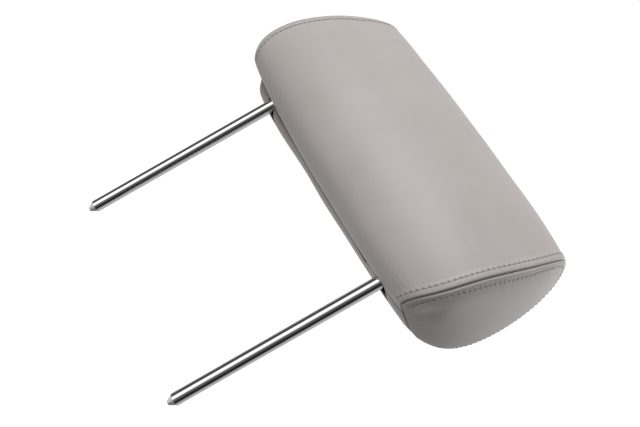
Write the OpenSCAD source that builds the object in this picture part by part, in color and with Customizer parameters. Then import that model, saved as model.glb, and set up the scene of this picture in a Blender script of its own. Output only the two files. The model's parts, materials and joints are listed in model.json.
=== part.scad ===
// Tilting head restraint on two round posts: a foam pad in a sewn leather cover,
// clamped by friction bushes to the crossbar of a bent steel rod.
// The origin lies midway between the post axes, level with the pad's underside.
// +Z is up, -Y is the side that the head rests on, +Y is the back.

/* [Posts] */
// Distance between the two post axes
post_spacing = 190; // [150:1:200]
// Diameter of the free, plated part of each post
post_d = 10; // [9:0.5:12]
// Length from the pad's underside to the post tips
post_free = 170; // [120:1:220]
// Length of the cone at each tip
tip_len = 5; // [3:0.5:8]
// Diameter of the flat end of each tip
tip_d = 3.6; // [2:0.1:5]
// Diameter of the rod inside the pad
rod_d = 9.4; // [8:0.1:9.4]
// Centreline radius of the rod's two bends
bend_r = 15; // [12:1:20]

/* [Pad] */
// Half-width at the side seams, at the widest height
seam_half_w = 142; // [130:1:150]
// Height of the pad above its underside
pad_h = 131; // [125:1:140]
// Distance from the post axes to the back of the pad
rear_reach = 34.5; // [32:0.5:38]
// Distance from the post axes to the front of the pad
front_reach = 88; // [84:1:95]
// How far each side panel bulges past its seam
side_bulge = 6; // [3:0.5:9]
// How much narrower each half of the pad is at its front than at its back
front_tuck = 5.5; // [0:0.5:7]
// Thickness of the leather cover
cover_t = 1.4; // [1:0.1:1.8]

/* [Tilt] */
// Height of the crossbar, the tilt axis, above the underside
axis_z = 60; // [56:1:64]
// Tilt range of the pad, top forwards
tilt_range = 15; // [5:1:15]

/* [Core] */
// Half-length of the plastic core
core_half_w = 70; // [64:1:72]
// Foam thickness between the core and the cover
foam_t = 9; // [8:0.5:9.5]
// Wall thickness of the core halves
core_wall = 2.5; // [2:0.1:2.6]
// Distance of each friction bush from the middle
bush_x = 38; // [30:1:44]
// Length of each friction bush
bush_len = 22; // [16:1:26]
// Outer diameter of the friction bushes
bush_d = 16; // [14:0.5:18]

/* [Hidden] */
$fn = 96;
gap = 0.3;          // running gap between bodies
fit = 0.05;         // radial clearance of a running fit
post_r = post_d / 2;
rod_r = rod_d / 2;
bush_r = bush_d / 2;
post_x = post_spacing / 2;
crossbar_half = post_x - bend_r;
press = 0.02;       // radial clearance of a pressed or screwed fit
seat = 0.05;        // gap between faces that bear on each other
slot_clear = 1.3;   // space round the posts inside the pad
far = 400;          // larger than the object

// Points [y, z] of the pad's side view, joined by a smooth closed curve
PROFILE = [
    [4, 0], [rear_reach - 9, 3], [rear_reach, 22], [rear_reach - 9, 58],
    [rear_reach - 35, 99], [-32, pad_h - 1], [-58, pad_h - 8],
    [7 - front_reach, 90], [-front_reach, 56], [14 - front_reach, 19], [-42, 1]
];
curve_steps = 6;    // facets between two profile points
outline_steps = curve_steps * len(PROFILE);
MIDDLE = [-25, 62];  // point that the side panels close over
low_tuck = 17;       // how much narrower each half is at its underside
top_tuck = 8;        // how much narrower each half is at its top
tuck_start = -20;    // y where the pad starts to narrow towards its front

// Crown of the cover: how far its outline shrinks towards the side seams
crown_soft = 3;
crown_edge = 2;

// Posts: the plated part goes on a little inside the pad, and each tip starts with a small step
post_in_pad = 4;
tip_step = 0.3;

// Room for the ends of the crossbar beside the core: its middle [y, z from the axis] and size
BAR_ROOM_AT = [-3, -8];
BAR_ROOM = [20, 29];
below_pad = -20;

// Underside opening of the main panel, closed by the bottom flap
lip_y = 7.5;
window_front = -42;
window_half_w = 122;

// Bottom flap and its post notches
flap_t = 2.4;
flap_z = -3.2;      // lowest point, in the middle of its width
flap_rise = 3;      // how much higher its ends are
flap_rear = 6;
flap_half_w = 119;
flap_corner = 12;
notch_w = post_d + 3.4;
notch_front = -(axis_z - flap_z) * sin(tilt_range) - post_r - 1.5;

// Closure strips, which hook together behind the slot, between the posts
strip_half_w = 78;
strip_foot = flap_z + flap_t + 1.5;
strip_t = 1;
STRIP_GROOVE = [[3.2, -3], [11, 12]];  // [y, z] corners of the foam's groove

// Edges of the seam tapes, as shares of the pad's half-width
TAPE_EDGES = [0.94, 0.98];

// Clamp straps over the friction bushes
strap_w = 16;
strap_t = 1.6;
strap_ear = 6.5;
strap_screw_dz = bush_r + strap_t + strap_ear / 2;
clamp_screw_r = 2;
clamp_screw_depth = 4.2;
clamp_head_r = 3.1;
clamp_head_h = 2.2;
bush_split = 1.6;    // width of the slit that lets a bush close on the rod

// Bearing block of the rear core half behind each bush
block_half_h = strap_screw_dz + 5;
block_half_w = bush_len / 2 + 1;

// Screws that join the core halves: [x, z]
CORE_SCREWS = [for (x = [-1, 1], z = [26, 70]) [x * (core_half_w - 9), z]];
core_screw_r = 2;
core_screw_len = 18;
core_head_r = 3.8;
core_head_h = 2;
boss_r = 4.5;
core_front_y = -32;
bore_len = 80;       // longer than the core is deep
rib_t = 2;
rib_len = 12;

// Stop collar in the middle of the crossbar
collar_r = 8;
collar_w = 14;
lug_w = 6;
lug_end = 17;
set_screw_r = 2;
set_screw_socket_r = 1.1;
stop_h = 8;          // height of the core's stop faces
stop_depth = 24;
stop_front_y = -lug_end * sin(tilt_range) - lug_w / 2 - gap;

// ---------- shape of the pad ----------

// Catmull-Rom curve through the profile, and its direction, at step i
function knot(i) = PROFILE[(i + len(PROFILE)) % len(PROFILE)];
function curve(i) =
    let (k = floor(i / curve_steps), u = i / curve_steps - k,
         a = knot(k - 1), b = knot(k), c = knot(k + 1), d = knot(k + 2))
    b + 0.5 * (u * (c - a)
        + u * u * (2 * a - 5 * b + 4 * c - d)
        + u * u * u * (3 * b - a - 3 * c + d));
function curve_dir(i) =
    let (d = curve(i + 0.1) - curve(i - 0.1))
    d / norm(d);

// Point [y, z] of the outline at step i, moved in by inset
function outline_point(i, inset) =
    let (d = curve_dir(i))
    curve(i) + inset * [-d[1], d[0]];

// Half-width at p = [y, z]: fullest at mid-height, tucked in below, above and towards the front
function half_width(p) =
    let (mid = pad_h / 2,
         u = (p[1] - mid) / mid,
         v = max(0, (tuck_start - p[0]) / (tuck_start + front_reach)))
    seam_half_w - (u < 0 ? low_tuck : top_tuck) * pow(abs(u), 3) - front_tuck * v * v;

function crown(s) = crown_soft * s * s + crown_edge * pow(s, 6);

// Point of the pad's surface: s runs from seam to seam, i round the outline
function pad_point(s, i, inset, side_inset) =
    let (p = outline_point(i, inset + crown(s)))
    [s * (half_width(p) - side_inset), p[0], p[1]];

// Point of a side panel: t runs from the seam to the panel's middle
function dome_point(t, i, inset, side_inset) =
    let (p = outline_point(i, inset + crown(1)), k = 1 - t, q = MIDDLE + k * (p - MIDDLE))
    [half_width(q) - side_inset + side_bulge * sqrt(1 - k * k), q[0], q[1]];

STEPS = [for (i = [0:outline_steps - 1]) i];
SEAM_TO_SEAM = [for (i = [-6:6]) i / 6];
DOME_STEPS = [0, 0.06, 0.16, 0.32, 0.55, 0.8];

function flat(rows) = [for (row = rows) each row];
function ring_faces(n_rings, n, from, turned) = [
    for (r = [0:n_rings - 2], i = [0:n - 1])
        let (j = (i + 1) % n, a = from + r * n, b = a + n)
        each turned
            ? [[a + i, a + j, b + i], [a + j, b + j, b + i]]
            : [[a + i, b + i, a + j], [a + j, b + i, b + j]]
];

// Closed band between an outer and an inner set of rings, open at both ends
module band(outer, inner) {
    n = len(outer[0]);
    rings = len(outer);
    second = rings * n;
    rim = function(a, b, turned) [
        for (i = [0:n - 1])
            let (j = (i + 1) % n)
            each turned
                ? [[a + i, b + i, a + j], [a + j, b + i, b + j]]
                : [[a + i, a + j, b + i], [a + j, b + j, b + i]]
    ];
    polyhedron(
        flat(concat(outer, inner)),
        concat(
            ring_faces(rings, n, 0, false),
            ring_faces(rings, n, second, true),
            rim(0, second, false),
            rim(second - n, second + second - n, true)
        )
    );
}

// Closed solid of rings with a fan over each end ring
module closed_rings(rings, first_tip, last_tip) {
    n = len(rings[0]);
    last = (len(rings) - 1) * n;
    tip = len(rings) * n;
    polyhedron(
        concat(flat(rings), [first_tip, last_tip]),
        concat(
            ring_faces(len(rings), n, 0, false),
            [for (i = [0:n - 1]) [i, (i + 1) % n, tip]],
            [for (i = [0:n - 1]) [last + (i + 1) % n, last + i, tip + 1]]
        )
    );
}

function main_rings(inset, side_inset) =
    [for (s = SEAM_TO_SEAM) [for (i = STEPS) pad_point(s, i, inset, side_inset)]];
function dome_rings(inset, side_inset) =
    [for (t = DOME_STEPS) [for (i = STEPS) dome_point(t, i, inset, side_inset)]];
function dome_tip(side_inset) =
    [half_width(MIDDLE) - side_inset + side_bulge, MIDDLE[0], MIDDLE[1]];
function mirrored(p) = [-p[0], p[1], p[2]];

// Everything inside the cover, as one closed shape
module stuffing(inset) {
    right = dome_rings(inset, inset);
    left = [for (i = [len(right) - 1:-1:1]) [for (p = right[i]) mirrored(p)]];
    closed_rings(
        concat(left, main_rings(inset, inset), [for (i = [1:len(right) - 1]) right[i]]),
        mirrored(dome_tip(inset)),
        dome_tip(inset)
    );
}

// Space that a post sweeps inside the pad, as seen from the pad
module post_sweep() {
    for (side = [-1, 1])
        translate([side * post_x, 0, 0])
            rotate([90, 0, 90])
                linear_extrude(2 * (post_r + slot_clear), center = true)
                    polygon([
                        [post_r + slot_clear, axis_z + rod_r + slot_clear],
                        [post_r + slot_clear, below_pad],
                        [notch_front - 6, below_pad],
                        [notch_front, flap_z],
                        [-rod_r - 2 * slot_clear, axis_z + rod_r + slot_clear]
                    ]);
    for (side = [-1, 1])
        translate([side * (core_half_w + post_x + post_r) / 2, BAR_ROOM_AT[0], axis_z + BAR_ROOM_AT[1]])
            cube([post_x + post_r + 3 - core_half_w, BAR_ROOM[0], BAR_ROOM[1]], center = true);
}

// ---------- rod and stop collar ----------

module post(side) {
    translate([side * post_x, 0, 0]) {
        translate([0, 0, tip_len - post_free])
            cylinder(r = post_r, h = post_free - tip_len + post_in_pad);
        translate([0, 0, -post_free])
            cylinder(r1 = tip_d / 2, r2 = post_r - tip_step, h = tip_len);
        cylinder(r = rod_r, h = axis_z - bend_r);
    }
}

module rod_bend(side) {
    translate([side * crossbar_half, 0, axis_z - bend_r])
        rotate([90, 0, 0])
            rotate([0, 0, side > 0 ? 0 : 90])
                rotate_extrude(angle = 90)
                    translate([bend_r, 0]) circle(r = rod_r);
}

module post_frame() {
    color("silver") {
        for (side = [-1, 1]) {
            post(side);
            rod_bend(side);
        }
        translate([-crossbar_half, 0, axis_z])
            rotate([0, 90, 0])
                cylinder(r = rod_r, h = 2 * crossbar_half);
    }
}

module along_crossbar(r, len) {
    translate([0, 0, axis_z])
        rotate([0, 90, 0])
            cylinder(r = r, h = len, center = true);
}

module stop_collar() {
    color("dimgray")
        difference() {
            union() {
                along_crossbar(collar_r, collar_w);
                translate([-collar_w / 2, -lug_w / 2, axis_z - lug_end])
                    cube([collar_w, lug_w, lug_end - rod_r - 1]);
            }
            along_crossbar(rod_r + press, collar_w + 2);
            translate([0, 0, axis_z])
                cylinder(r = set_screw_r + press, h = collar_r + 2);
        }
}

module collar_set_screw() {
    color("black")
        translate([0, 0, axis_z + rod_r + press])
            difference() {
                cylinder(r = set_screw_r, h = collar_r - rod_r);
                translate([0, 0, set_screw_r])
                    cylinder(r = set_screw_socket_r, h = collar_r, $fn = 6);
            }
}

// ---------- plastic core ----------

// The pad's outline shrunk by inset, from y0 to y1, over a half-width of hw
module core_block(inset, hw, y0, y1) {
    intersection() {
        rotate([90, 0, 90])
            linear_extrude(2 * hw, center = true)
                polygon([for (i = STEPS) outline_point(i, inset)]);
        translate([-far / 2, y0, 0])
            cube([far, y1 - y0, far]);
    }
}

module at_core_screws() {
    for (p = CORE_SCREWS)
        translate([p[0], 0, p[1]])
            rotate([90, 0, 0]) children();
}

module at_clamp_screws(side) {
    for (dz = [-strap_screw_dz, strap_screw_dz])
        translate([side * bush_x, 0, axis_z + dz])
            rotate([90, 0, 0]) children();
}

module core_rear_half() {
    outer_inset = foam_t + cover_t;
    color("darkslategray")
        difference() {
            union() {
                difference() {
                    core_block(outer_inset, core_half_w, 0.1, far);
                    core_block(outer_inset + core_wall, core_half_w - core_wall, -1, far);
                }
                intersection() {
                    core_block(outer_inset + 0.5, core_half_w, 0.1, far);
                    union() {
                        for (side = [-1, 1])
                            translate([side * bush_x, 0, axis_z])
                                cube([2 * block_half_w, far, 2 * block_half_h], center = true);
                        translate([0, (lug_w + stop_depth) / 2 + gap, axis_z - lug_end + 2])
                            cube([collar_w + 4, stop_depth, stop_h], center = true);
                        at_core_screws()
                            cylinder(r = boss_r, h = bore_len, center = true);
                    }
                }
            }
            for (side = [-1, 1]) {
                translate([side * bush_x, 0, 0])
                    along_crossbar(bush_r, bush_len);
                at_clamp_screws(side)
                    translate([0, 0, -clamp_screw_depth - gap])
                        cylinder(r = clamp_screw_r + fit, h = clamp_screw_depth + 2);
            }
            along_crossbar(rod_r + 0.5, 2 * core_half_w + 2);
            at_core_screws()
                cylinder(r = core_screw_r + fit, h = bore_len, center = true);
            at_core_screws()
                translate([0, 0, -bore_len - 3]) cylinder(r = core_head_r + 0.4, h = bore_len);
        }
}

module core_front_half() {
    outer_inset = foam_t + cover_t;
    color("slategray")
        difference() {
            union() {
                difference() {
                    core_block(outer_inset, core_half_w, core_front_y, -0.1);
                    core_block(outer_inset + core_wall, core_half_w - core_wall,
                               core_front_y + core_wall, 1);
                }
                intersection() {
                    core_block(outer_inset + 0.5, core_half_w, core_front_y + 1, -0.1);
                    union() {
                        at_core_screws()
                            cylinder(r = boss_r, h = bore_len, center = true);
                        translate([0, stop_front_y - stop_depth / 2, axis_z - lug_end + 2])
                            cube([collar_w + 4, stop_depth, stop_h], center = true);
                        for (x = [-core_half_w * 0.3, core_half_w * 0.3])
                            translate([x, core_front_y + rib_len / 2, 0])
                                cube([rib_t, rib_len, far], center = true);
                    }
                }
            }
            along_crossbar(rod_r + 0.5, 2 * core_half_w + 2);
            at_core_screws()
                translate([0, 0, -1]) cylinder(r = core_screw_r + fit, h = 17);
        }
}

module core_screws() {
    color("silver")
        at_core_screws()
            translate([0, 0, -3 - seat]) {
                cylinder(r = core_screw_r, h = core_screw_len);
                difference() {
                    translate([0, 0, -core_head_h]) cylinder(r = core_head_r, h = core_head_h);
                    translate([0, 0, -core_head_h - 1])
                        cylinder(r = 0.8 * core_screw_r, h = core_head_h + 0.2, $fn = 6);
                }
            }
}

// ---------- friction bushes and their straps ----------

module friction_bush(side) {
    color("ivory")
        translate([side * bush_x, 0, 0])
            difference() {
                along_crossbar(bush_r - press, bush_len - 4 * seat);
                along_crossbar(rod_r + fit, bush_len + 2);
                translate([-bush_len, -bush_r - 2, axis_z - bush_split / 2])
                    cube([2 * bush_len, bush_r, bush_split]);
            }
}

module clamp_strap(side) {
    inner = bush_r + seat;
    color("gray")
        difference() {
            intersection() {
                translate([side * bush_x, 0, 0])
                    union() {
                        along_crossbar(inner + strap_t, strap_w);
                        translate([-strap_w / 2, -strap_t - 0.1, axis_z - inner - strap_t - strap_ear])
                            cube([strap_w, strap_t, 2 * (inner + strap_t + strap_ear)]);
                    }
                translate([-far / 2, -far - 0.1, 0])
                    cube([far, far, far]);
            }
            translate([side * bush_x, 0, 0])
                along_crossbar(inner, strap_w + 2);
            at_clamp_screws(side)
                cylinder(r = clamp_screw_r + fit, h = 20, center = true);
        }
}

module clamp_screws() {
    color("silver")
        for (side = [-1, 1])
            at_clamp_screws(side) {
                translate([0, 0, -clamp_screw_depth])
                    cylinder(r = clamp_screw_r, h = clamp_screw_depth + strap_t + 3 * seat);
                difference() {
                    translate([0, 0, strap_t + 3 * seat]) cylinder(r = clamp_head_r, h = clamp_head_h);
                    translate([0, 0, strap_t + clamp_head_h / 2])
                        cylinder(r = clamp_head_r / 2, h = clamp_head_h + 1, $fn = 6);
                }
            }
}

// ---------- foam ----------

module foam_pocket() {
    core_block(foam_t + cover_t - gap, core_half_w + gap, core_front_y - gap, far);
    post_sweep();
    translate([-strip_half_w - 2, STRIP_GROOVE[0][0], STRIP_GROOVE[0][1]])
        cube([2 * strip_half_w + 4, STRIP_GROOVE[1][0] - STRIP_GROOVE[0][0],
              STRIP_GROOVE[1][1] - STRIP_GROOVE[0][1]]);
}

module foam_part(y0, y1) {
    color("dimgray")
        difference() {
            intersection() {
                stuffing(cover_t + 1);
                translate([-far / 2, y0, -far / 2]) cube([far, y1 - y0, far]);
            }
            foam_pocket();
        }
}

module foam_rear() { foam_part(0.1, far); }
module foam_front() { foam_part(-far, -0.1); }

// ---------- leather cover ----------

module main_panel() {
    color("silver")
        difference() {
            band(main_rings(0, 0.15), main_rings(cover_t, 0.15));
            translate([-window_half_w, window_front, -20])
                cube([2 * window_half_w, lip_y - window_front, 30]);
        }
}

module side_panel(side) {
    outer = dome_rings(0, -0.15);
    inner = dome_rings(cover_t, cover_t - 0.15);
    n = len(STEPS);
    rings = len(outer);
    second = rings * n + 1;
    color("silver")
        mirror([side > 0 ? 0 : 1, 0, 0])
            polyhedron(
                concat(flat(outer), [dome_tip(-0.15)], flat(inner), [dome_tip(cover_t - 0.15)]),
                concat(
                    ring_faces(rings, n, 0, false),
                    [for (i = [0:n - 1]) [(rings - 1) * n + (i + 1) % n, (rings - 1) * n + i, rings * n]],
                    ring_faces(rings, n, second, true),
                    [for (i = [0:n - 1])
                        [second + (rings - 1) * n + i, second + (rings - 1) * n + (i + 1) % n,
                         second + rings * n]],
                    [for (i = [0:n - 1])
                        let (j = (i + 1) % n)
                        each [[i, j, second + i], [j, second + j, second + i]]]
                )
            );
}

// Outline of the flap from below, with round front corners and a notch for each post
module flap_outline() {
    front = window_front + gap;
    difference() {
        union() {
            translate([-flap_half_w, front + flap_corner])
                square([2 * flap_half_w, flap_rear - front - flap_corner]);
            translate([-flap_half_w + flap_corner, front])
                square([2 * (flap_half_w - flap_corner), flap_corner + 1]);
            for (side = [-1, 1])
                translate([side * (flap_half_w - flap_corner), front + flap_corner])
                    circle(r = flap_corner);
        }
        for (side = [-1, 1])
            translate([side * post_x, notch_front + notch_w / 2]) {
                translate([-notch_w / 2, 0]) square([notch_w, far]);
                circle(r = notch_w / 2);
            }
    }
}

// The flap arches up slightly towards its ends
function flap_arch(lift, run) =
    [for (s = run) [s * (flap_half_w + 1), flap_z + lift + flap_rise * s * s]];

module bottom_flap() {
    color("darkgray")
        intersection() {
            translate([0, 0, flap_z - 1])
                linear_extrude(flap_t + flap_rise + 2) flap_outline();
            translate([0, far / 2, 0])
                rotate([90, 0, 0])
                    linear_extrude(far)
                        polygon(concat(
                            flap_arch(0, [-1:0.125:1]),
                            flap_arch(flap_t, [1:-0.125:-1])
                        ));
        }
}

module strip(points, shade) {
    color(shade)
        rotate([90, 0, 90])
            linear_extrude(2 * strip_half_w, center = true)
                polygon(points);
}

// Hook strip sewn inside the main panel's rear lip
module closure_strip_rear() {
    strip([[lip_y + 0.3, 3.2], [lip_y + 0.3 + strip_t, 3.2], [lip_y + 0.3 + strip_t, 10],
           [lip_y - 1.4, 10], [lip_y - 1.4, 7.4], [lip_y - 0.4, 7.4], [lip_y - 0.4, 9],
           [lip_y + 0.3, 9]], "black");
}

// Hook strip sewn to the flap's rear edge, caught over the other strip's hook
module closure_strip_flap() {
    strip([[flap_rear - 1.8, strip_foot], [flap_rear - 0.8, strip_foot],
           [flap_rear - 0.8, 5.4], [lip_y - 0.1, 5.4], [lip_y - 0.1, 8.6],
           [lip_y - 0.3, 8.6], [lip_y - 0.3, 6.4], [flap_rear - 1.8, 6.4]], "dimgray");
}

// Tape that backs the main panel's edge, just inside the side seam
module seam_tape(side) {
    ring = function(s, inset) [for (i = STEPS) pad_point(s, i, inset, 0)];
    color("whitesmoke")
        mirror([side > 0 ? 0 : 1, 0, 0])
            band(
                [for (s = TAPE_EDGES) ring(s, cover_t + 0.35)],
                [for (s = TAPE_EDGES) ring(s, cover_t + 0.7)]
            );
}

post_frame();
stop_collar();
collar_set_screw();
core_rear_half();
core_front_half();
core_screws();
friction_bush(1);  // friction_bush_left
friction_bush(-1);  // friction_bush_right
clamp_strap(1);  // clamp_strap_left
clamp_strap(-1);  // clamp_strap_right
clamp_screws();
foam_rear();
foam_front();
main_panel();
side_panel(1);  // side_panel_left
side_panel(-1);  // side_panel_right
bottom_flap();
closure_strip_rear();
closure_strip_flap();
seam_tape(1);  // seam_tape_left
seam_tape(-1);  // seam_tape_right
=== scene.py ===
"""Looks of a tilting head restraint: a sewn leather pad on two chromed posts.

Lengths in the shape functions are millimetres; MM turns them into the scene's metres.
"""

import json
import math

import bpy
import numpy as np
from mathutils import Matrix, Vector


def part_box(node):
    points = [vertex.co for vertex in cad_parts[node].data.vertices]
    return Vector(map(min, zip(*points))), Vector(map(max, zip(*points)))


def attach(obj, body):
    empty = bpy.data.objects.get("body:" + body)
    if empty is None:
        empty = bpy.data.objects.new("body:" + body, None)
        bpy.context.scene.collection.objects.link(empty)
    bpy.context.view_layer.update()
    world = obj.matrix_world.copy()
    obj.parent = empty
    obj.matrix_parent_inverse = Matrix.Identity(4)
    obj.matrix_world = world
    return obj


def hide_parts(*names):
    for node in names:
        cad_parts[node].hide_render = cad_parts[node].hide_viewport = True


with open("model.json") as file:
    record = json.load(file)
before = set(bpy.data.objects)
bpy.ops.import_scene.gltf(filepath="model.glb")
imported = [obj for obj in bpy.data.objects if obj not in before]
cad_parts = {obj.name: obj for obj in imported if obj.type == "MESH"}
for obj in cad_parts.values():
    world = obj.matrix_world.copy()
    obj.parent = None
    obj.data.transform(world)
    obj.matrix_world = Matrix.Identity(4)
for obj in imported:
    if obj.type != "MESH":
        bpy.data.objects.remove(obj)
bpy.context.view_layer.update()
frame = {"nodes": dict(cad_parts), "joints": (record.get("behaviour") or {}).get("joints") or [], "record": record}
NODES = frame["nodes"]
MM = 0.001

# ---------- sizes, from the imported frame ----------

panel_low, panel_high = (np.array(c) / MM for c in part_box("main_panel"))
_, side_high = (np.array(c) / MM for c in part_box("side_panel_left"))
post_low, post_high = (np.array(c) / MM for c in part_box("post_frame"))
flap_low, _ = (np.array(c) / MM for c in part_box("bottom_flap"))

BACK, FRONT, TOP = panel_high[1], panel_low[1], panel_high[2]
SEAM_HALF_WIDTH = panel_high[0]
BULGE = side_high[0] - SEAM_HALF_WIDTH      # how far a side panel stands past its seam
POST_R = post_high[1]
POST_X = post_high[0] - POST_R

# Side view of the pad: points [y, z] of a smooth closed curve, from the slot round the back
PROFILE = np.array([
    [4, 0], [BACK - 9, 3], [BACK, 22], [BACK - 9, 58], [BACK - 35, 99], [-32, TOP - 1.4],
    [-58, TOP - 8.4], [FRONT + 7, 90], [FRONT, 56], [FRONT + 14, 19], [-42, 1],
], float)
MIDDLE = np.array([-25.0, 62.0])            # point [y, z] that the side panels close over
LOW_TUCK, TOP_TUCK, FRONT_TUCK = 17.0, 8.0, 7.5     # how much narrower each half is at these edges
TUCK_START = -20.0                          # y where the pad starts to narrow towards its front
UNDERSIDE = 12.0                            # z that the profile's underside stays below
CROWN = [(3.0, 2), (1.5, 6), (0.8, 24)]     # drop towards the side seams: (depth, power) of each term
DOME = 6                                    # power of a side panel's dome; a higher one is flatter

SLOT_LIP = 8.0        # y of the main panel's lower edge, behind the posts
FLAP_SEAM = -42.0     # y of the seam between the flap and the main panel
LEATHER = 1.2         # thickness of the leather
STITCH = 4.6          # pitch of the topstitching
STITCH_ROW = 5.6      # distance of each topstitch row from its seam
STITCH_STEPS = 6      # mesh columns per stitch


# ---------- smooth curves and grids ----------

def smoothstep(a, b, x):
    """0 before a and 1 after b, with a smooth step between."""
    t = np.clip((x - a) / (b - a), 0, 1)
    return t * t * (3 - 2 * t)


def bell(x, width):
    """1 where x is 0, falling off on both sides."""
    return np.exp(-(x / width)**2)


def unit(vectors):
    """The vectors scaled to length 1."""
    return vectors / np.linalg.norm(vectors, axis=-1, keepdims=True)


def catmull(a, b, c, d, u):
    """Catmull-Rom blend from b to c at u, for numbers or arrays."""
    return b + 0.5 * (u * (c - a) + u**2 * (2 * a - 5 * b + 4 * c - d) + u**3 * (3 * (b - c) + d - a))


def profile_table(steps=400):
    """The closed profile: shares of its length, points, inward normals, and the length."""
    n = len(PROFILE)
    i = np.arange(n * steps)
    k, u = i // steps, (i % steps / steps)[:, None]
    pts = catmull(*(PROFILE[(k + j) % n] for j in (-1, 0, 1, 2)), u)
    run = np.roll(pts, -1, 0) - pts
    length = np.hypot(*run.T)
    tangent = np.roll(pts, -1, 0) - np.roll(pts, 1, 0)
    tangent /= np.hypot(*tangent.T)[:, None]
    inward = np.stack([-tangent[:, 1], tangent[:, 0]], 1)
    share = np.concatenate([[0], np.cumsum(length)])
    pts, inward = (np.concatenate([a, a[:1]]) for a in (pts, inward))
    return share / share[-1], pts, inward, share[-1]


SHARE, POINTS, INWARD, PERIMETER = profile_table()


def profile(u):
    """Points and inward normals [y, z] at the shares u of the profile's length."""
    u = np.mod(u, 1.0)
    p, n = (np.stack([np.interp(u, SHARE, a[:, j]) for j in (0, 1)], -1) for a in (POINTS, INWARD))
    return p, unit(n)


def share_at(y, front):
    """Share of the profile's length where its underside passes y, on the front or back side."""
    low = POINTS[:-1, 1] < UNDERSIDE
    side = (SHARE[:-1] > 0.5) if front else (SHARE[:-1] < 0.5)
    found = np.where(low & side)[0]
    return SHARE[found[np.argmin(abs(POINTS[found, 0] - y))]]


def half_width(p):
    """Half-width of the pad at points [y, z]."""
    u = (p[..., 1] - TOP / 2) / (TOP / 2)
    v = np.maximum(0, (TUCK_START - p[..., 0]) / (TUCK_START - FRONT))
    return SEAM_HALF_WIDTH - np.where(u < 0, LOW_TUCK, TOP_TUCK) * np.abs(u)**3 - FRONT_TUCK * v**2


def skin(w, u, inset=0.0):
    """Point of the pad's surface. w is -1 and 1 at the side seams and goes on to -2 and 2 in
    the middle of the side panels; u is the share of the way round the profile."""
    s, t = np.clip(np.abs(w), 0, 1), np.clip(np.abs(w) - 1, 0, 1)
    p, n = profile(u)
    crown = sum(depth * s**power for depth, power in CROWN)
    q = p + (inset + crown)[..., None] * n
    k = 1 - t
    q = MIDDLE + k[..., None] * (q - MIDDLE)
    x = s * half_width(q) + BULGE * (1 - k**DOME) - inset * t
    return np.stack([np.sign(w) * x, q[..., 0], q[..., 1]], -1)


def skin_grid(ws, us, inset=0.0):
    """Grid of points of the pad's surface, a row for each of ws and a column for each of us."""
    w, u = np.meshgrid(ws, us, indexing="ij")
    return skin(w, u, np.full(w.shape, inset))


def grid_normals(p, closed):
    """Outward unit normals of a grid of points; its columns join up if closed."""
    du = (np.roll(p, -1, 1) - np.roll(p, 1, 1)) if closed else np.gradient(p, axis=1)
    n = np.cross(du, np.gradient(p, axis=0))
    return n / np.maximum(np.linalg.norm(n, axis=-1, keepdims=True), 1e-9)


def grid_faces(rows, cols, closed, flip=False, start=0):
    """Quads of a grid of rows by cols vertices."""
    r, c = np.meshgrid(np.arange(rows - 1), np.arange(cols if closed else cols - 1), indexing="ij")
    a, b = start + r * cols + c, start + r * cols + (c + 1) % cols
    quads = np.stack([a, b, b + cols, a + cols], -1).reshape(-1, 4)
    return (quads[:, ::-1] if flip else quads).tolist()


def new_object(name, vertices, faces, smooth=True):
    """A mesh object from points in millimetres."""
    mesh = bpy.data.meshes.new(name)
    mesh.from_pydata((np.asarray(vertices) * MM).tolist(), [], faces)
    mesh.validate()
    if smooth:
        mesh.shade_smooth()
    else:
        mesh.shade_flat()
    obj = bpy.data.objects.new(name, mesh)
    bpy.context.scene.collection.objects.link(obj)
    return obj


def set_attribute(obj, name, values):
    """Gives each vertex of obj a value under name."""
    attribute = obj.data.attributes.new(name, "FLOAT", "POINT")
    attribute.data.foreach_set("value", np.asarray(values, np.float32).ravel())


def apply_modifiers(obj):
    """Turns obj's modifiers into mesh."""
    graph = bpy.context.evaluated_depsgraph_get()
    mesh = bpy.data.meshes.new_from_object(obj.evaluated_get(graph), depsgraph=graph)
    obj.modifiers.clear()
    obj.data = mesh


# ---------- cloth: how the stuffed cover swells between its seams ----------

DOME_ROWS = np.array([0.09, 0.2, 0.33, 0.48, 0.64, 0.8, 0.92])
SIM_ROWS = np.concatenate([-1 - DOME_ROWS[::-1], np.linspace(-1, 1, 41), 1 + DOME_ROWS])
SIM_COLS = 96
SIM_FRAMES = 20
START_INSET = 1.2     # the simulated form starts this much smaller than the pad
PINNED_BELOW = 14.0   # from the slot to the flap's seam, the form is pinned below this z
SWELL_CAP = 3.0       # no point of the cover moves further than this
SMOOTHINGS = 2        # passes that take out the grid's own ripple
SWELL_FADE = 0.06     # the swell comes in over this much of w beside a side seam


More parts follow.
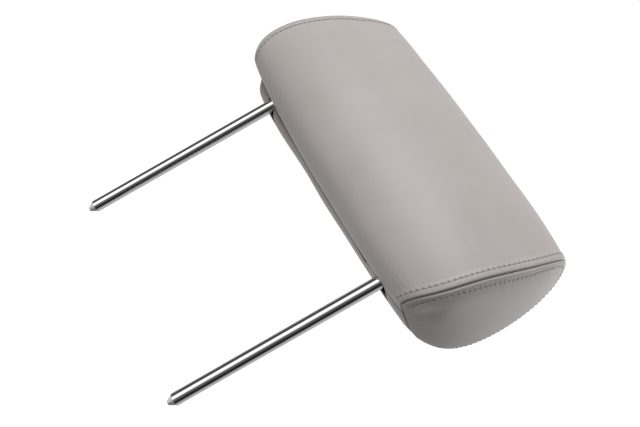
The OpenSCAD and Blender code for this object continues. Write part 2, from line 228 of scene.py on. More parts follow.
def cloth_form(base):
    """The cover as a closed cloth under pressure, pinned where it is sewn or hooked."""
    rows = len(SIM_ROWS)
    tips = np.array([base[0].mean(0), base[-1].mean(0)])
    faces = grid_faces(rows, SIM_COLS, True)
    last = (rows - 1) * SIM_COLS
    for c in range(SIM_COLS):
        d = (c + 1) % SIM_COLS
        faces.append([d, c, rows * SIM_COLS])
        faces.append([last + c, last + d, rows * SIM_COLS + 1])
    cover = new_object("cloth_form", np.concatenate([base.reshape(-1, 3), tips]), faces)

    y, z = base[..., 1], base[..., 2]
    seam = np.isclose(np.abs(SIM_ROWS), 1)[:, None] & np.ones(SIM_COLS, bool)
    slot = (y > FLAP_SEAM - 2) & (y < SLOT_LIP + 2) & (z < PINNED_BELOW)
    pins = cover.vertex_groups.new(name="pins")
    pins.add(np.where((seam | slot).ravel())[0].tolist(), 1.0, "REPLACE")
    cloth = cover.modifiers.new("cloth", "CLOTH")
    cloth.settings.quality = 6
    cloth.settings.mass = 0.4
    cloth.settings.tension_stiffness = 40
    cloth.settings.compression_stiffness = 40
    cloth.settings.bending_stiffness = 2.5
    cloth.settings.use_pressure = True
    cloth.settings.uniform_pressure_force = 4
    cloth.settings.vertex_group_mass = "pins"
    cloth.settings.effector_weights.gravity = 0
    cloth.collision_settings.use_collision = False
    cloth.point_cache.frame_start = 1
    cloth.point_cache.frame_end = SIM_FRAMES
    return cover


def swell():
    base = skin_grid(SIM_ROWS, np.arange(SIM_COLS) / SIM_COLS, START_INSET)
    cover = cloth_form(base)
    scene = bpy.context.scene
    for step in range(1, SIM_FRAMES + 1):
        scene.frame_set(step)
    graph = bpy.context.evaluated_depsgraph_get()
    swollen = cover.evaluated_get(graph).to_mesh()
    co = np.empty(len(swollen.vertices) * 3)
    swollen.vertices.foreach_get("co", co)
    moved = co.reshape(-1, 3)[:base[..., 0].size].reshape(base.shape) / MM - base
    cover.evaluated_get(graph).to_mesh_clear()
    bpy.data.objects.remove(cover)
    scene.frame_set(1)
    reach = np.linalg.norm(moved, axis=-1, keepdims=True)
    moved *= SWELL_CAP * np.tanh(reach / SWELL_CAP) / np.maximum(reach, 1e-6)
    for _ in range(SMOOTHINGS):
        moved = (np.roll(moved, 1, 1) + 2 * moved + np.roll(moved, -1, 1)) / 4
    moved[np.isclose(np.abs(SIM_ROWS), 1)] = 0
    return moved


SWELL = swell()


def swell_at(ws, us):
    """The cloth's displacement at rows ws and columns us, by smooth interpolation."""
    c = np.mod(us, 1.0) * SIM_COLS
    k, f = np.floor(c).astype(int), (c % 1)[None, :, None]
    at_cols = catmull(*(SWELL[:, (k + j) % SIM_COLS] for j in (-1, 0, 1, 2)), f)
    r = np.interp(ws, SIM_ROWS, np.arange(len(SIM_ROWS)))
    k, f = np.floor(r).astype(int), (r % 1)[:, None, None]
    last = len(SIM_ROWS) - 1
    return catmull(*(at_cols[np.clip(k + j, 0, last)] for j in (-1, 0, 1, 2)), f)


def cover_grid(ws, us):
    """The stuffed cover's surface, before seams and creases."""
    fade = smoothstep(0, SWELL_FADE, np.abs(np.abs(ws) - 1))[:, None, None]
    return skin_grid(ws, us) + fade * swell_at(ws, us)


# ---------- seams, creases and thread ----------

# Distances of the mesh rows beside a side seam from the seam
SEAM_DISTANCES = np.array([
    0, 0.35, 0.7, 1.1, 1.6, 2.2, 3.0, 3.8, 4.5, 5.1, STITCH_ROW, 6.1, 6.7, 7.4, 8.2, 9.2, 10.5,
])
THREAD_ROW = int(np.argmin(abs(SEAM_DISTANCES - STITCH_ROW)))
STITCH_COUNT = int(round(PERIMETER / STITCH))
RING_COLS = STITCH_COUNT * STITCH_STEPS
RING = np.arange(RING_COLS) / RING_COLS     # shares of the profile's length at the mesh columns

FOLD_HEIGHT = 0.55                          # the leather folded under, out to the topstitching
GROOVE_DEPTH, SEWN_DEPTH, GROOVE_WIDTH = 0.5, 1.7, 0.8      # at the seam; the second adds to the first
VALLEY_DEPTH, VALLEY_WIDTH = 0.16, 0.9      # along the thread
HOLE_DEPTH, HOLE_WIDTH = 0.42, 0.65         # at each needle hole
PUCKER_HEIGHT, PUCKER_AT, PUCKER_WIDTH = 0.03, 9.5, 5.0     # slight waves beside the topstitching
THREAD_R, THREAD_SIDES = 0.30, 6

# A stitch's path: mesh columns past its needle hole, and height above the leather
STITCH_PATH = np.array([
    [0.7, -0.6], [1.15, 0.0], [2.0, 0.12], [3.0, 0.15], [4.0, 0.12], [4.85, 0.0], [5.3, -0.6],
])


def rows_at(start, end, distances, samples=600):
    """Values of w between start and end that lie at these mean distances from the seam."""
    w = start + (end - start) * np.linspace(0, 1, samples)**2
    p = skin_grid(w, RING[::40])      # every fortieth column is enough for a mean
    run = np.linalg.norm(np.diff(p, axis=0), axis=-1).mean(1)
    return np.interp(distances, np.concatenate([[0], np.cumsum(run)]), w)


def distance_from_seam(p):
    """Distance of each grid point from the grid's first row, along its rows."""
    run = np.linalg.norm(np.diff(p, axis=0), axis=-1)
    return np.concatenate([np.zeros((1, p.shape[1])), np.cumsum(run, 0)])


def stitch_wave(us):
    """1 at the needle holes and 0 in the middle of a stitch."""
    return 0.5 + 0.5 * np.cos(2 * math.pi * us * STITCH_COUNT)


def topstitched(us):
    """1 where the side seams are topstitched and 0 underneath, where they are plain."""
    _, inward = profile(us)
    return 1 - smoothstep(0.75, 0.95, inward[:, 1])


def needle_holes(d, us):
    """1 at each needle hole of the topstitch row, falling off to 0 round it."""
    return (topstitched(us) * stitch_wave(us)**6)[None, :] * bell(d - STITCH_ROW, HOLE_WIDTH)


def seam_relief(d, us):
    """Height of the leather at distance d from a side seam."""
    sewn = topstitched(us)[None, :]
    fold = FOLD_HEIGHT * sewn * (1 - smoothstep(STITCH_ROW - 0.4, STITCH_ROW + 3.4, d))
    groove = (GROOVE_DEPTH + SEWN_DEPTH * sewn) * bell(d, GROOVE_WIDTH)
    valley = VALLEY_DEPTH * sewn * bell(d - STITCH_ROW, VALLEY_WIDTH)
    holes = HOLE_DEPTH * needle_holes(d, us)
    wave = np.sin(2 * math.pi * us * 23 + 0.7) + 0.6 * np.sin(2 * math.pi * us * 37 + 2.1)
    pucker = PUCKER_HEIGHT * wave[None, :] * bell(d - PUCKER_AT, PUCKER_WIDTH)
    return fold - groove - valley - holes + pucker


def seam_shade_and_grime(d, us):
    """How dark the leather is made in the seam's groove and at the needle holes: painted shade, with some dirt in
    the groove.
    """
    groove = (0.3 + 0.6 * topstitched(us))[None, :] * bell(d, 0.7)
    return np.maximum(groove, np.minimum(1, 1.6 * needle_holes(d, us)))


def softness(p):
    """Slow unevenness of the stuffed surface, in millimetres."""
    x, y, z = (p[..., i] for i in range(3))
    return (0.22 * np.sin(x / 31 + 0.4) * np.sin(z / 27 + 1.1)
            + 0.16 * np.sin(x / 17 + y / 23 + 2.0) * np.sin(z / 19 - y / 29)
            + 0.10 * np.sin(x / 11.5 - z / 13.0 + 0.9))


def creases(p):
    """Fine folds where the cover pulls round its lower back corners, deeper at the right end."""
    x, y, z = (p[..., i] for i in range(3))
    first_x, first_z = 121, 9           # middle of the lowest fold
    step_x, step_z = 5, 3.4             # each further one lies further in and higher
    slope, bend, width = 0.25, 0.02, 1.1
    total = np.zeros(p.shape[:-1])
    for side, depth in ((-1, 0.30), (1, 0.08)):
        for j in range(3):
            along = side * x - first_x + step_x * j
            across = z - first_z - step_z * j - slope * along + bend * along**2
            length = 5 + 1.5 * j
            total -= depth * np.exp(-(along / length)**2 - (across / width)**2) * (y > 5)
    return total


def thread(name, points, normals, us):
    """Topstitching along a row of points with their shares us of the profile, where it is sewn."""
    vertices, faces = [], []
    column, share = np.floor(STITCH_PATH[:, 0]).astype(int), (STITCH_PATH[:, 0] % 1)[:, None]
    sewn = topstitched(us)
    first = int(round(us[0] * RING_COLS)) % STITCH_STEPS
    lead = (STITCH_STEPS - first) % STITCH_STEPS
    for at in range(lead, len(points) - STITCH_STEPS, STITCH_STEPS):
        if sewn[at] < 0.5:
            continue
        k = at + column
        ups = unit(normals[k] * (1 - share) + normals[k + 1] * share)
        centres = points[k] * (1 - share) + points[k + 1] * share + STITCH_PATH[:, 1:] * ups
        ahead = unit(np.gradient(centres, axis=0))
        across = unit(np.cross(ahead, ups))
        up = np.cross(across, ahead)
        start = len(vertices)
        for c, a, b in zip(centres, across, up):
            for j in range(THREAD_SIDES):
                t = 2 * math.pi * j / THREAD_SIDES
                vertices.append(c + THREAD_R * (math.cos(t) * a + math.sin(t) * b))
        faces += grid_faces(len(centres), THREAD_SIDES, True, start=start)
        faces.append([start + j for j in range(THREAD_SIDES)])
        end = start + (len(centres) - 1) * THREAD_SIDES
        faces.append([end + j for j in reversed(range(THREAD_SIDES))])
    obj = new_object(name, vertices, faces)
    obj.data.materials.append(THREAD)
    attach(obj, "pad")


# ---------- materials ----------

# Colour multiplied into the leather by its darkening attribute: painted shade in seam grooves, needle holes,
# rolled edges and at the slot, with some dirt in the seams
SHADE_AND_GRIME_COLOUR = (0.13, 0.12, 0.115, 1)
GRAIN_WANDER = 0.0011       # metres that the leather's grain is shifted by its warp


def node_material(name):
    """A new material with its node tree and its shader."""
    mat = bpy.data.materials.new(name)
    mat.use_nodes = True
    shader = mat.node_tree.nodes["Principled BSDF"]
    return mat, mat.node_tree, shader


def add(tree, kind, **settings):
    """A node with its properties and, by name, its input values set."""
    node = tree.nodes.new(kind)
    for key, value in settings.items():
        if hasattr(node, key):
            setattr(node, key, value)
        else:
            node.inputs[key.replace("_", " ")].default_value = value
    return node


def ramp(tree, source, stops):
    """A colour ramp over source; stops are (position, colour or grey)."""
    node = tree.nodes.new("ShaderNodeValToRGB")
    elements = node.color_ramp.elements
    while len(elements) < len(stops):
        elements.new(0.5)
    for element, (position, value) in zip(elements, stops):
        element.position = position
        element.color = (*value, 1) if isinstance(value, tuple) else (value, value, value, 1)
    tree.links.new(source, node.inputs[0])
    return node.outputs[0]


def bump(tree, height, strength, distance, under=None):
    """Normals bumped by height, up to distance in metres, over those of an earlier bump."""
    node = add(tree, "ShaderNodeBump", Strength=strength, Distance=distance)
    tree.links.new(height, node.inputs["Height"])
    if under:
        tree.links.new(under, node.inputs["Normal"])
    return node.outputs["Normal"]


def leather(name, light, dark, roughness=0.42):
    """Satin leather: pebbled grain with pores, faint mottling, and painted shade with some dirt in the seams;
    painted shade also at the slot and on rolled edges.
    """
    mat, tree, shader = node_material(name)
    place = add(tree, "ShaderNodeTexCoord").outputs["Object"]
    pebble = add(tree, "ShaderNodeTexVoronoi", feature="SMOOTH_F1", Scale=950.0, Smoothness=0.55)
    crack = add(tree, "ShaderNodeTexVoronoi", feature="DISTANCE_TO_EDGE", Scale=620.0)
    warp = add(tree, "ShaderNodeTexNoise", Scale=240.0, Detail=3.0)
    mottle = add(tree, "ShaderNodeTexNoise", Scale=26.0, Detail=4.0, Roughness=0.55)
    fine = add(tree, "ShaderNodeTexNoise", Scale=2600.0, Detail=2.0)
    for node in (warp, mottle, fine):
        tree.links.new(place, node.inputs["Vector"])
    shift = add(tree, "ShaderNodeVectorMath", operation="MULTIPLY_ADD")
    shift.inputs[1].default_value = (GRAIN_WANDER, GRAIN_WANDER, GRAIN_WANDER)
    tree.links.new(warp.outputs["Color"], shift.inputs[0])
    tree.links.new(place, shift.inputs[2])
    for node in (pebble, crack):
        tree.links.new(shift.outputs[0], node.inputs["Vector"])
    tint = ramp(tree, mottle.outputs["Fac"], [(0.3, dark), (0.7, light)])
    # Darkens the leather by the attribute: painted shade, with some dirt in the seams
    seam = add(tree, "ShaderNodeAttribute", attribute_name="shade_and_grime")
    shade_and_grime = add(tree, "ShaderNodeMix", data_type="RGBA", blend_type="MULTIPLY")
    tree.links.new(seam.outputs["Fac"], shade_and_grime.inputs["Factor"])
    tree.links.new(tint, shade_and_grime.inputs["A"])
    shade_and_grime.inputs["B"].default_value = SHADE_AND_GRIME_COLOUR
    tree.links.new(shade_and_grime.outputs["Result"], shader.inputs["Base Color"])
    gloss = ramp(tree, mottle.outputs["Fac"], [(0.25, roughness - 0.04), (0.75, roughness + 0.05)])
    tree.links.new(gloss, shader.inputs["Roughness"])
    cracks = ramp(tree, crack.outputs["Distance"], [(0.0, 0.0), (0.16, 1.0)])
    normal = bump(tree, cracks, strength=0.22, distance=0.00006)
    normal = bump(tree, pebble.outputs["Distance"], strength=0.30, distance=0.00010, under=normal)
    normal = bump(tree, fine.outputs["Fac"], strength=0.12, distance=0.00003, under=normal)
    tree.links.new(normal, shader.inputs["Normal"])
    shader.inputs["Specular IOR Level"].default_value = 0.42
    shader.inputs["Sheen Weight"].default_value = 0.06
    shader.inputs["Sheen Roughness"].default_value = 0.4
    return mat


def thread_material():
    """Twisted sewing thread."""
    mat, tree, shader = node_material("stitch_thread")
    place = add(tree, "ShaderNodeTexCoord").outputs["Object"]
    twist = add(tree, "ShaderNodeTexWave", Scale=900.0, Distortion=1.5)
    tree.links.new(place, twist.inputs["Vector"])
    tint = ramp(tree, twist.outputs["Fac"], [(0.2, (0.40, 0.372, 0.355)), (0.8, (0.54, 0.505, 0.485))])
    tree.links.new(tint, shader.inputs["Base Color"])
    normal = bump(tree, twist.outputs["Fac"], strength=0.5, distance=0.00008)
    tree.links.new(normal, shader.inputs["Normal"])
    shader.inputs["Roughness"].default_value = 0.55
    return mat


def chrome():
    """Polished chrome with faint marks along the posts."""
    mat, tree, shader = node_material("polished_chrome")
    place = add(tree, "ShaderNodeTexCoord").outputs["Object"]
    stretch = add(tree, "ShaderNodeMapping")
    stretch.inputs["Scale"].default_value = (1, 1, 0.06)
    tree.links.new(place, stretch.inputs["Vector"])
    polish = add(tree, "ShaderNodeTexNoise", Scale=900.0, Detail=3.0)
    tree.links.new(stretch.outputs[0], polish.inputs["Vector"])
    marks = polish.outputs["Fac"]
    gloss = ramp(tree, marks, [(0.35, 0.045), (0.75, 0.11)])
    tint = ramp(tree, marks, [(0.3, (0.86, 0.86, 0.87)), (0.8, (0.90, 0.90, 0.91))])
    tree.links.new(gloss, shader.inputs["Roughness"])
    tree.links.new(tint, shader.inputs["Base Color"])
    shader.inputs["Metallic"].default_value = 1.0
    return mat


def plain_finish(name, light, dark, roughness, metallic=0.0, scale=400.0, depth=0.00004):
    """Moulded or plated finish: fine mottled colour, roughness and bump."""
    mat, tree, shader = node_material(name)
    place = add(tree, "ShaderNodeTexCoord").outputs["Object"]
    grain = add(tree, "ShaderNodeTexNoise", Scale=scale, Detail=5.0, Roughness=0.6)
    tree.links.new(place, grain.inputs["Vector"])
    fac = grain.outputs["Fac"]
    tree.links.new(ramp(tree, fac, [(0.3, dark), (0.7, light)]), shader.inputs["Base Color"])
    tree.links.new(ramp(tree, fac, [(0.3, roughness - 0.06), (0.7, roughness + 0.08)]),
                   shader.inputs["Roughness"])
    tree.links.new(bump(tree, fac, strength=0.4, distance=depth), shader.inputs["Normal"])
    shader.inputs["Metallic"].default_value = metallic
    return mat


MAIN_LEATHER = leather("grey_leather", (0.520, 0.482, 0.462), (0.488, 0.450, 0.430))
SIDE_LEATHER = leather("grey_leather_side", (0.505, 0.468, 0.448), (0.470, 0.433, 0.413), 0.56)
FLAP_LEATHER = leather("flap_leather", (0.500, 0.464, 0.445), (0.465, 0.428, 0.410), 0.5)
THREAD = thread_material()
# Light and dark colour, roughness, metallic, and the scale and depth in metres of the grain
CAD_FINISHES = {
    "chrome_rod": chrome(),
    "dark_steel": plain_finish("black_oxide", (0.07, 0.07, 0.075), (0.035, 0.035, 0.04), 0.4, 0.8),
    "core_plastic": plain_finish("core_plastic", (0.06, 0.06, 0.065), (0.035, 0.035, 0.04), 0.5),
    "zinc_screws": plain_finish("zinc_screws", (0.66, 0.67, 0.70), (0.52, 0.53, 0.56), 0.34, 1.0),
    "zinc_straps": plain_finish("zinc_straps", (0.60, 0.61, 0.63), (0.46, 0.47, 0.49), 0.4, 1.0),
    "bush_plastic": plain_finish("bush_plastic", (0.82, 0.80, 0.74), (0.72, 0.70, 0.64), 0.45),
    "foam": plain_finish("foam", (0.16, 0.16, 0.165), (0.10, 0.10, 0.105), 0.85, 0.0, 700.0, 0.0006),
    "strip_plastic": plain_finish("strip_plastic", (0.10, 0.10, 0.10), (0.06, 0.06, 0.06), 0.5),
    "tape": plain_finish("tape", (0.76, 0.75, 0.73), (0.62, 0.61, 0.59), 0.8, 0.0, 1500.0, 0.0002),
}


def finish_cad_nodes():
    """The CAD nodes that stay visible get the finish of their material slot."""
    for part in frame["record"]["subparts"]:
        if part["material_slot"] in CAD_FINISHES:
            obj = NODES[part["node"]]
            obj.data.materials.clear()
            obj.data.materials.append(CAD_FINISHES[part["material_slot"]])


# ---------- the cover ----------

FLAP_ENDS = 0.985           # w of the flap's ends, just inside the side seams
SLOT_WIDTH = 3.0            # between the flap's edge and the main panel's
FLAP_SINK = 0.6             # the flap's edges lie this far inside the pad's surface
NOTCH_SIDE_ROOM = 1.5       # between a post and the sides of its notch
NOTCH_FRONT_ROOM = 3.0      # between a fully tilted post and the front of its notch
NOTCH_BACK = SLOT_LIP + 6   # y that the notches are cut back to, past the flap's edge


def curl(p, n, inner, radius, depth):
    """Columns that roll the edge p inwards, away from the column inner: a quarter round, then
    straight in."""
    outwards = unit(p - inner)
    columns = []
    for a in np.radians([22, 45, 68, 90]):
        columns.append(p - radius * n + radius * (math.cos(a) * n + math.sin(a) * outwards))
    for share in (0.35, 0.7, 1.0):
        columns.append(columns[3] - share * depth * n)
    return np.stack(columns, 1)


def main_panel():
    """The cover over the back, top and front, rolled in at the slot and at the flap's seam."""
    first, last = share_at(SLOT_LIP, False), share_at(FLAP_SEAM, True)
    us = RING[(RING >= first) & (RING <= last)]
    near_seam = rows_at(1, 0, SEAM_DISTANCES)
    middle = np.linspace(near_seam[-1], -near_seam[-1], 42)[1:-1]
    ws = np.concatenate([near_seam, middle, -near_seam[::-1]])[::-1]
    p = cover_grid(ws, us)
    from_right, from_left = distance_from_seam(p), distance_from_seam(p[::-1])[::-1]
    height = softness(p) + creases(p) + seam_relief(from_right, us) + seam_relief(from_left, us)
    p = p + height[..., None] * grid_normals(p, False)
    n = grid_normals(p, False)

    lip = curl(p[:, 0], n[:, 0], p[:, 2], radius=2.6, depth=7.0)
    hem = curl(p[:, -1], n[:, -1], p[:, -3], radius=1.6, depth=4.0)
    grid = np.concatenate([lip[:, ::-1], p, hem], 1)
    rows, cols = grid.shape[:2]
    obj = new_object("main_panel_leather", grid.reshape(-1, 3), grid_faces(rows, cols, False))

    from_slot = np.arange(len(us)) * PERIMETER / RING_COLS
    seams = seam_shade_and_grime(np.minimum(from_right, from_left), us)
    # Painted shade along the panel's edge at the slot, where the lip's underside lies in shadow
    slot_painted_shade, slot_reach = 0.85, 5.5
    shade_and_grime = np.maximum(seams, slot_painted_shade * bell(from_slot, slot_reach)[None, :])
    # Painted shade, deeper towards the inside of the rolled-in lip and hem
    rolled = np.tile(np.linspace(0.1, 0.9, lip.shape[1]), (rows, 1))
    set_attribute(obj, "shade_and_grime", np.concatenate([rolled[:, ::-1], shade_and_grime, rolled], 1))
    thicken(obj, LEATHER)
    obj.data.materials.append(MAIN_LEATHER)
    cover_piece(obj, "main_panel")
    for side, row in (("right", THREAD_ROW), ("left", rows - 1 - THREAD_ROW)):
        thread(f"main_topstitch_{side}", p[row], n[row], us)


def side_panel(side):
    """An end panel, domed over the foam, with its own topstitched edge."""
    near_seam = rows_at(1, 2, SEAM_DISTANCES)
    middle = np.linspace(near_seam[-1], 2, 26)[1:-1]
    p = cover_grid(side * np.concatenate([near_seam, middle]), RING)
    d = distance_from_seam(p)
    height = softness(p) + seam_relief(d, RING) + dimple(p)
    p = p + height[..., None] * grid_normals(p, True) * side
    rows, cols = p.shape[:2]
    tip = p[-1].mean(0)
    faces = grid_faces(rows, cols, True, flip=side < 0)
    last = (rows - 1) * cols
    for c in range(cols):
        triangle = [last + c, last + (c + 1) % cols, rows * cols]
        faces.append(triangle if side > 0 else triangle[::-1])
    name = "left" if side > 0 else "right"
    obj = new_object(f"side_panel_leather_{name}", np.concatenate([p.reshape(-1, 3), [tip]]), faces)
    set_attribute(obj, "shade_and_grime", np.append(seam_shade_and_grime(d, RING).ravel(), 0.0))
    thicken(obj, LEATHER)
    obj.data.materials.append(SIDE_LEATHER)
    cover_piece(obj, f"side_panel_{name}")
    n = grid_normals(p, True) * side
    thread(f"side_topstitch_{name}", p[THREAD_ROW], n[THREAD_ROW], RING)


def dimple(p):
    """Soft hollow above each side panel's lower back corner."""
    y, z = p[..., 1], p[..., 2]
    depth, radius = 2.3, 9
    return -depth * np.exp(-((y - 10) / radius)**2 - ((z - 20) / radius)**2)


def bottom_flap():
    """Closeout between the posts' slot and the front, slightly fuller than the panels round it."""
    first, last = share_at(FLAP_SEAM, True), 1 + share_at(SLOT_LIP - SLOT_WIDTH, False)
    ws = np.linspace(-FLAP_ENDS, FLAP_ENDS, 150)
    p = skin_grid(ws, np.linspace(first, last, 34))
    n = grid_normals(p, False)
    p = p + flap_height(p, ws)[..., None] * n
    seam = curl(p[:, 0], n[:, 0], p[:, 1], radius=1.2, depth=2.0)
    lip = curl(p[:, -1], n[:, -1], p[:, -2], radius=1.6, depth=5.0)
    grid = np.concatenate([seam[:, ::-1], p, lip], 1)
    rows, cols = grid.shape[:2]
    obj = new_object("bottom_flap_leather", grid.reshape(-1, 3), grid_faces(rows, cols, False))

    # Painted shade on the flap, darkest at its edge by the slot, where the panel's lip shades it
    columns_from_slot = np.arange(cols)[::-1] - lip.shape[1]
    shade_and_grime = 0.95 * np.exp(-np.maximum(columns_from_slot, 0) / 2.6)
    set_attribute(obj, "shade_and_grime", np.tile(shade_and_grime, (rows, 1)))
    thicken(obj, LEATHER)
    for x in (-POST_X, POST_X):
        cut_notch(obj, x, 2 * (POST_R + NOTCH_SIDE_ROOM), flap_notch_front(), NOTCH_BACK)
    obj.data.materials.append(FLAP_LEATHER)
    cover_piece(obj, "bottom_flap")


def flap_height(p, ws):
    """How far the flap stands out of the pad's surface: most at the left, less round the posts."""
    x, y = p[..., 0], p[..., 1]
    right, middle, left = -130, 20, 118
    deep = 1.0 + 1.6 * smoothstep(right, middle, x) + 4.8 * smoothstep(middle, left, x)
    across = np.linspace(0, 1, p.shape[1])[None, :]
    along = np.abs(ws)[:, None]
    full = (1 - (2 * across - 1)**4) * (1 - smoothstep(0.93, 1.0, along))
    height = deep * full - FLAP_SINK + softness(p)
    pull, pull_x, pull_y = 0.9, 11, 12      # depth and reach of the hollow round each post
    for post_x in (-POST_X, POST_X):
        height = height - pull * np.exp(-((x - post_x) / pull_x)**2 - ((y + 4) / pull_y)**2)
    return height


def flap_notch_front():
    """y of the front end of the notches: as far as the posts swing, and a little room."""
    tilt = frame["joints"][0]
    axis_z = tilt["pos_m"][2] / MM
    swing = math.radians(max(tilt["range_deg"]))
    return -(axis_z - flap_low[2]) * math.sin(swing) - POST_R - NOTCH_FRONT_ROOM


def cut_notch(obj, x, width, front, back):
    """Cuts a slot with a round front end for a post through obj."""
    half, reach = width / 2, 25
    outline = [(x + half, back), (x - half, back)]
    for a in np.radians(np.linspace(180, 360, 17)):
        outline.append((x + half * math.cos(a), front + half + half * math.sin(a)))
    n = len(outline)
    vertices = [(px, py, z) for z in (-reach, reach) for px, py in outline]
    faces = [list(range(n))[::-1], list(range(n, 2 * n))]
    faces += [[i, (i + 1) % n, n + (i + 1) % n, n + i] for i in range(n)]
    cutter = new_object("cutter", vertices, faces, smooth=False)
    cut = obj.modifiers.new("cut", "BOOLEAN")
    cut.operation, cut.solver, cut.object = "DIFFERENCE", "EXACT", cutter
    apply_modifiers(obj)
    bpy.data.objects.remove(cutter)


def thicken(obj, thickness):
    """Gives the sheet obj its thickness, inwards."""
    solid = obj.modifiers.new("thickness", "SOLIDIFY")
    solid.thickness = thickness * MM
    solid.offset = -1
    apply_modifiers(obj)
    obj.data.shade_smooth()


def cover_piece(obj, node):
    """Puts the piece obj in the place of a CAD node of the pad."""
    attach(obj, "pad")
    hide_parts(node)


# ---------- stage ----------

CAMERA_AT = Vector((-0.4286, 0.6196, -0.0156))
CAMERA_RIGHT = Vector((-0.41783, -0.26802, 0.86809)).normalized()
CAMERA_UP = Vector((0.72234, 0.48153, 0.49634)).normalized()
CAMERA_BACK = CAMERA_RIGHT.cross(CAMERA_UP)
CAMERA_FOCAL = 990.6 / 640          # focal length as a share of the picture's width
SENSOR_WIDTH = 36                   # millimetres

# Place, aim, size in metres and power in watts of each light
LIGHTS = {
    "key": ((0.65, 1.0, 1.1), (0, 0, 0.06), 0.9, 10.8),
    "fill": ((-0.75, -0.75, 1.2), (0, 0, 0.06), 0.9, 2),
    "end_fill": ((-0.42, -0.44, 0.34), (-0.1, -0.04, 0.07), 0.6, 2.1),
}

# What stands round the object at its own height, by direction from the camera's side, in
# degrees counter-clockwise seen from above: a strip light, dark walls and grey screens
CAMERA_SIDE = math.degrees(math.atan2(CAMERA_BACK.y, CAMERA_BACK.x))
HORIZON = [
    (-180, 0.95), (-162, 0.95), (-154, 0.12), (-144, 0.12), (-135, 0.45), (-115, 0.10), (-82, 0.04),
    (-68, 0.15), (-55, 1.5), (-28, 1.5), (-14, 0.40), (0, 0.12), (22, 0.07), (35, 0.012), (58, 0.012),
    (72, 0.25), (90, 0.45), (135, 0.60), (144, 0.10), (156, 0.10), (164, 0.95), (180, 0.95),
]
# Shares from floor to ceiling, with how strongly the horizon hides the dome behind it
HORIZON_BAND = [(0.30, 0.0), (0.40, 1.0), (0.60, 1.0), (0.70, 0.0)]
# Shares from floor to ceiling, with the dome's brightness
ROOM = [(0.0, 0.62), (0.35, 0.52), (0.65, 0.55), (1.0, 0.90)]
# Shares from -X to +X, with what a dark screen on the -X side leaves of the dome
SCREEN = [(0.0, 0.10), (0.30, 0.30), (0.60, 1.0)]
FLOOR_SIZE, FLOOR_GAP = 60, 0.0005      # metres; the gap is under the posts' tips


def camera():
    """The camera that the object is seen from at rest."""
    data = bpy.data.cameras.new("camera")
    cam = bpy.data.objects.new("camera", data)
    bpy.context.scene.collection.objects.link(cam)
    bpy.context.scene.camera = cam
    data.sensor_width = SENSOR_WIDTH
    data.lens = CAMERA_FOCAL * SENSOR_WIDTH
    data.clip_start, data.clip_end = 0.01, 60
    turn = Matrix((CAMERA_RIGHT, CAMERA_UP, CAMERA_BACK)).transposed()
    cam.matrix_world = Matrix.Translation(CAMERA_AT) @ turn.to_4x4()


def area_light(name, at, aim, size, power):
    """A round white light at one point that faces another."""
    data = bpy.data.lights.new(name, "AREA")
    data.shape, data.size, data.energy = "DISK", size, power
    lamp = bpy.data.objects.new(name, data)
    bpy.context.scene.collection.objects.link(lamp)
    lamp.location = at
    lamp.rotation_mode = "QUATERNION"
    lamp.rotation_quaternion = (Vector(aim) - Vector(at)).to_track_quat("-Z", "Y")


def share_between(tree, source, low, high):
    """Where source lies from low to high, as 0 to 1."""
    node = add(tree, "ShaderNodeMapRange", From_Min=low, From_Max=high)
    tree.links.new(source, node.inputs["Value"])
    return node.outputs[0]


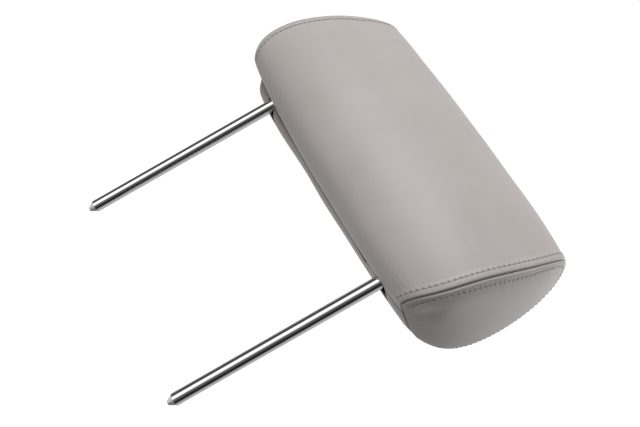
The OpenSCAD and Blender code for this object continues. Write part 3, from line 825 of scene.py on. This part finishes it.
def studio_world():
    """White to the camera; for light and reflections, a dome with the horizon before it."""
    world = bpy.data.worlds.new("studio")
    bpy.context.scene.world = world
    world.use_nodes = True
    tree = world.node_tree
    out = tree.nodes["World Output"]
    white = tree.nodes["Background"]
    white.inputs["Color"].default_value = (1, 1, 1, 1)
    white.inputs["Strength"].default_value = 1.05
    room = add(tree, "ShaderNodeBackground", Strength=1.0)
    place = add(tree, "ShaderNodeTexCoord").outputs["Generated"]
    turned = add(tree, "ShaderNodeVectorRotate", rotation_type="Z_AXIS")
    turned.inputs["Angle"].default_value = -math.radians(CAMERA_SIDE)
    tree.links.new(place, turned.inputs["Vector"])
    split = add(tree, "ShaderNodeSeparateXYZ")
    tree.links.new(turned.outputs[0], split.inputs[0])
    angle = add(tree, "ShaderNodeMath", operation="ARCTAN2")
    tree.links.new(split.outputs["Y"], angle.inputs[0])
    tree.links.new(split.outputs["X"], angle.inputs[1])
    share = share_between(tree, angle.outputs[0], -math.pi, math.pi)
    ring = ramp(tree, share, [((a + 180) / 360, v) for a, v in HORIZON])
    height = share_between(tree, split.outputs["Z"], -1.0, 1.0)
    dome = ramp(tree, height, ROOM)
    across = add(tree, "ShaderNodeSeparateXYZ")
    tree.links.new(place, across.inputs[0])
    side = share_between(tree, across.outputs["X"], -1.0, 1.0)
    screened = add(tree, "ShaderNodeMix", data_type="RGBA", blend_type="MULTIPLY", Factor=1.0)
    tree.links.new(dome, screened.inputs["A"])
    tree.links.new(ramp(tree, side, SCREEN), screened.inputs["B"])
    level = ramp(tree, height, HORIZON_BAND)
    colour = add(tree, "ShaderNodeMix", data_type="RGBA")
    tree.links.new(level, colour.inputs["Factor"])
    tree.links.new(screened.outputs["Result"], colour.inputs["A"])
    tree.links.new(ring, colour.inputs["B"])
    tree.links.new(colour.outputs["Result"], room.inputs["Color"])
    path = add(tree, "ShaderNodeLightPath")
    mix = add(tree, "ShaderNodeMixShader")
    tree.links.new(path.outputs["Is Camera Ray"], mix.inputs[0])
    tree.links.new(room.outputs[0], mix.inputs[1])
    tree.links.new(white.outputs[0], mix.inputs[2])
    tree.links.new(mix.outputs[0], out.inputs["Surface"])


def floor():
    """Pale floor just under the posts' tips. It takes shadows and casts no light of its own."""
    bpy.ops.mesh.primitive_plane_add(size=FLOOR_SIZE, location=(0, 0, post_low[2] * MM - FLOOR_GAP))
    plane = bpy.context.object
    plane.name = "floor"
    mat, _, shader = node_material("pale_floor")
    shader.inputs["Base Color"].default_value = (0.8, 0.8, 0.8, 1)
    shader.inputs["Roughness"].default_value = 0.9
    shader.inputs["Specular IOR Level"].default_value = 0.0
    shader.inputs["Emission Color"].default_value = (1, 1, 1, 1)
    shader.inputs["Emission Strength"].default_value = 0.66
    plane.data.materials.append(mat)
    plane.visible_diffuse = False
    plane.visible_shadow = False
    plane.visible_glossy = False


def stage():
    """Everything round the object: camera, world, floor and lights."""
    bpy.context.scene.view_settings.view_transform = "Standard"
    camera()
    studio_world()
    floor()
    for name, (at, aim, size, power) in LIGHTS.items():
        area_light(name, at, aim, size, power)


stage()
finish_cad_nodes()
main_panel()
for side in (-1, 1):
    side_panel(side)
bottom_flap()
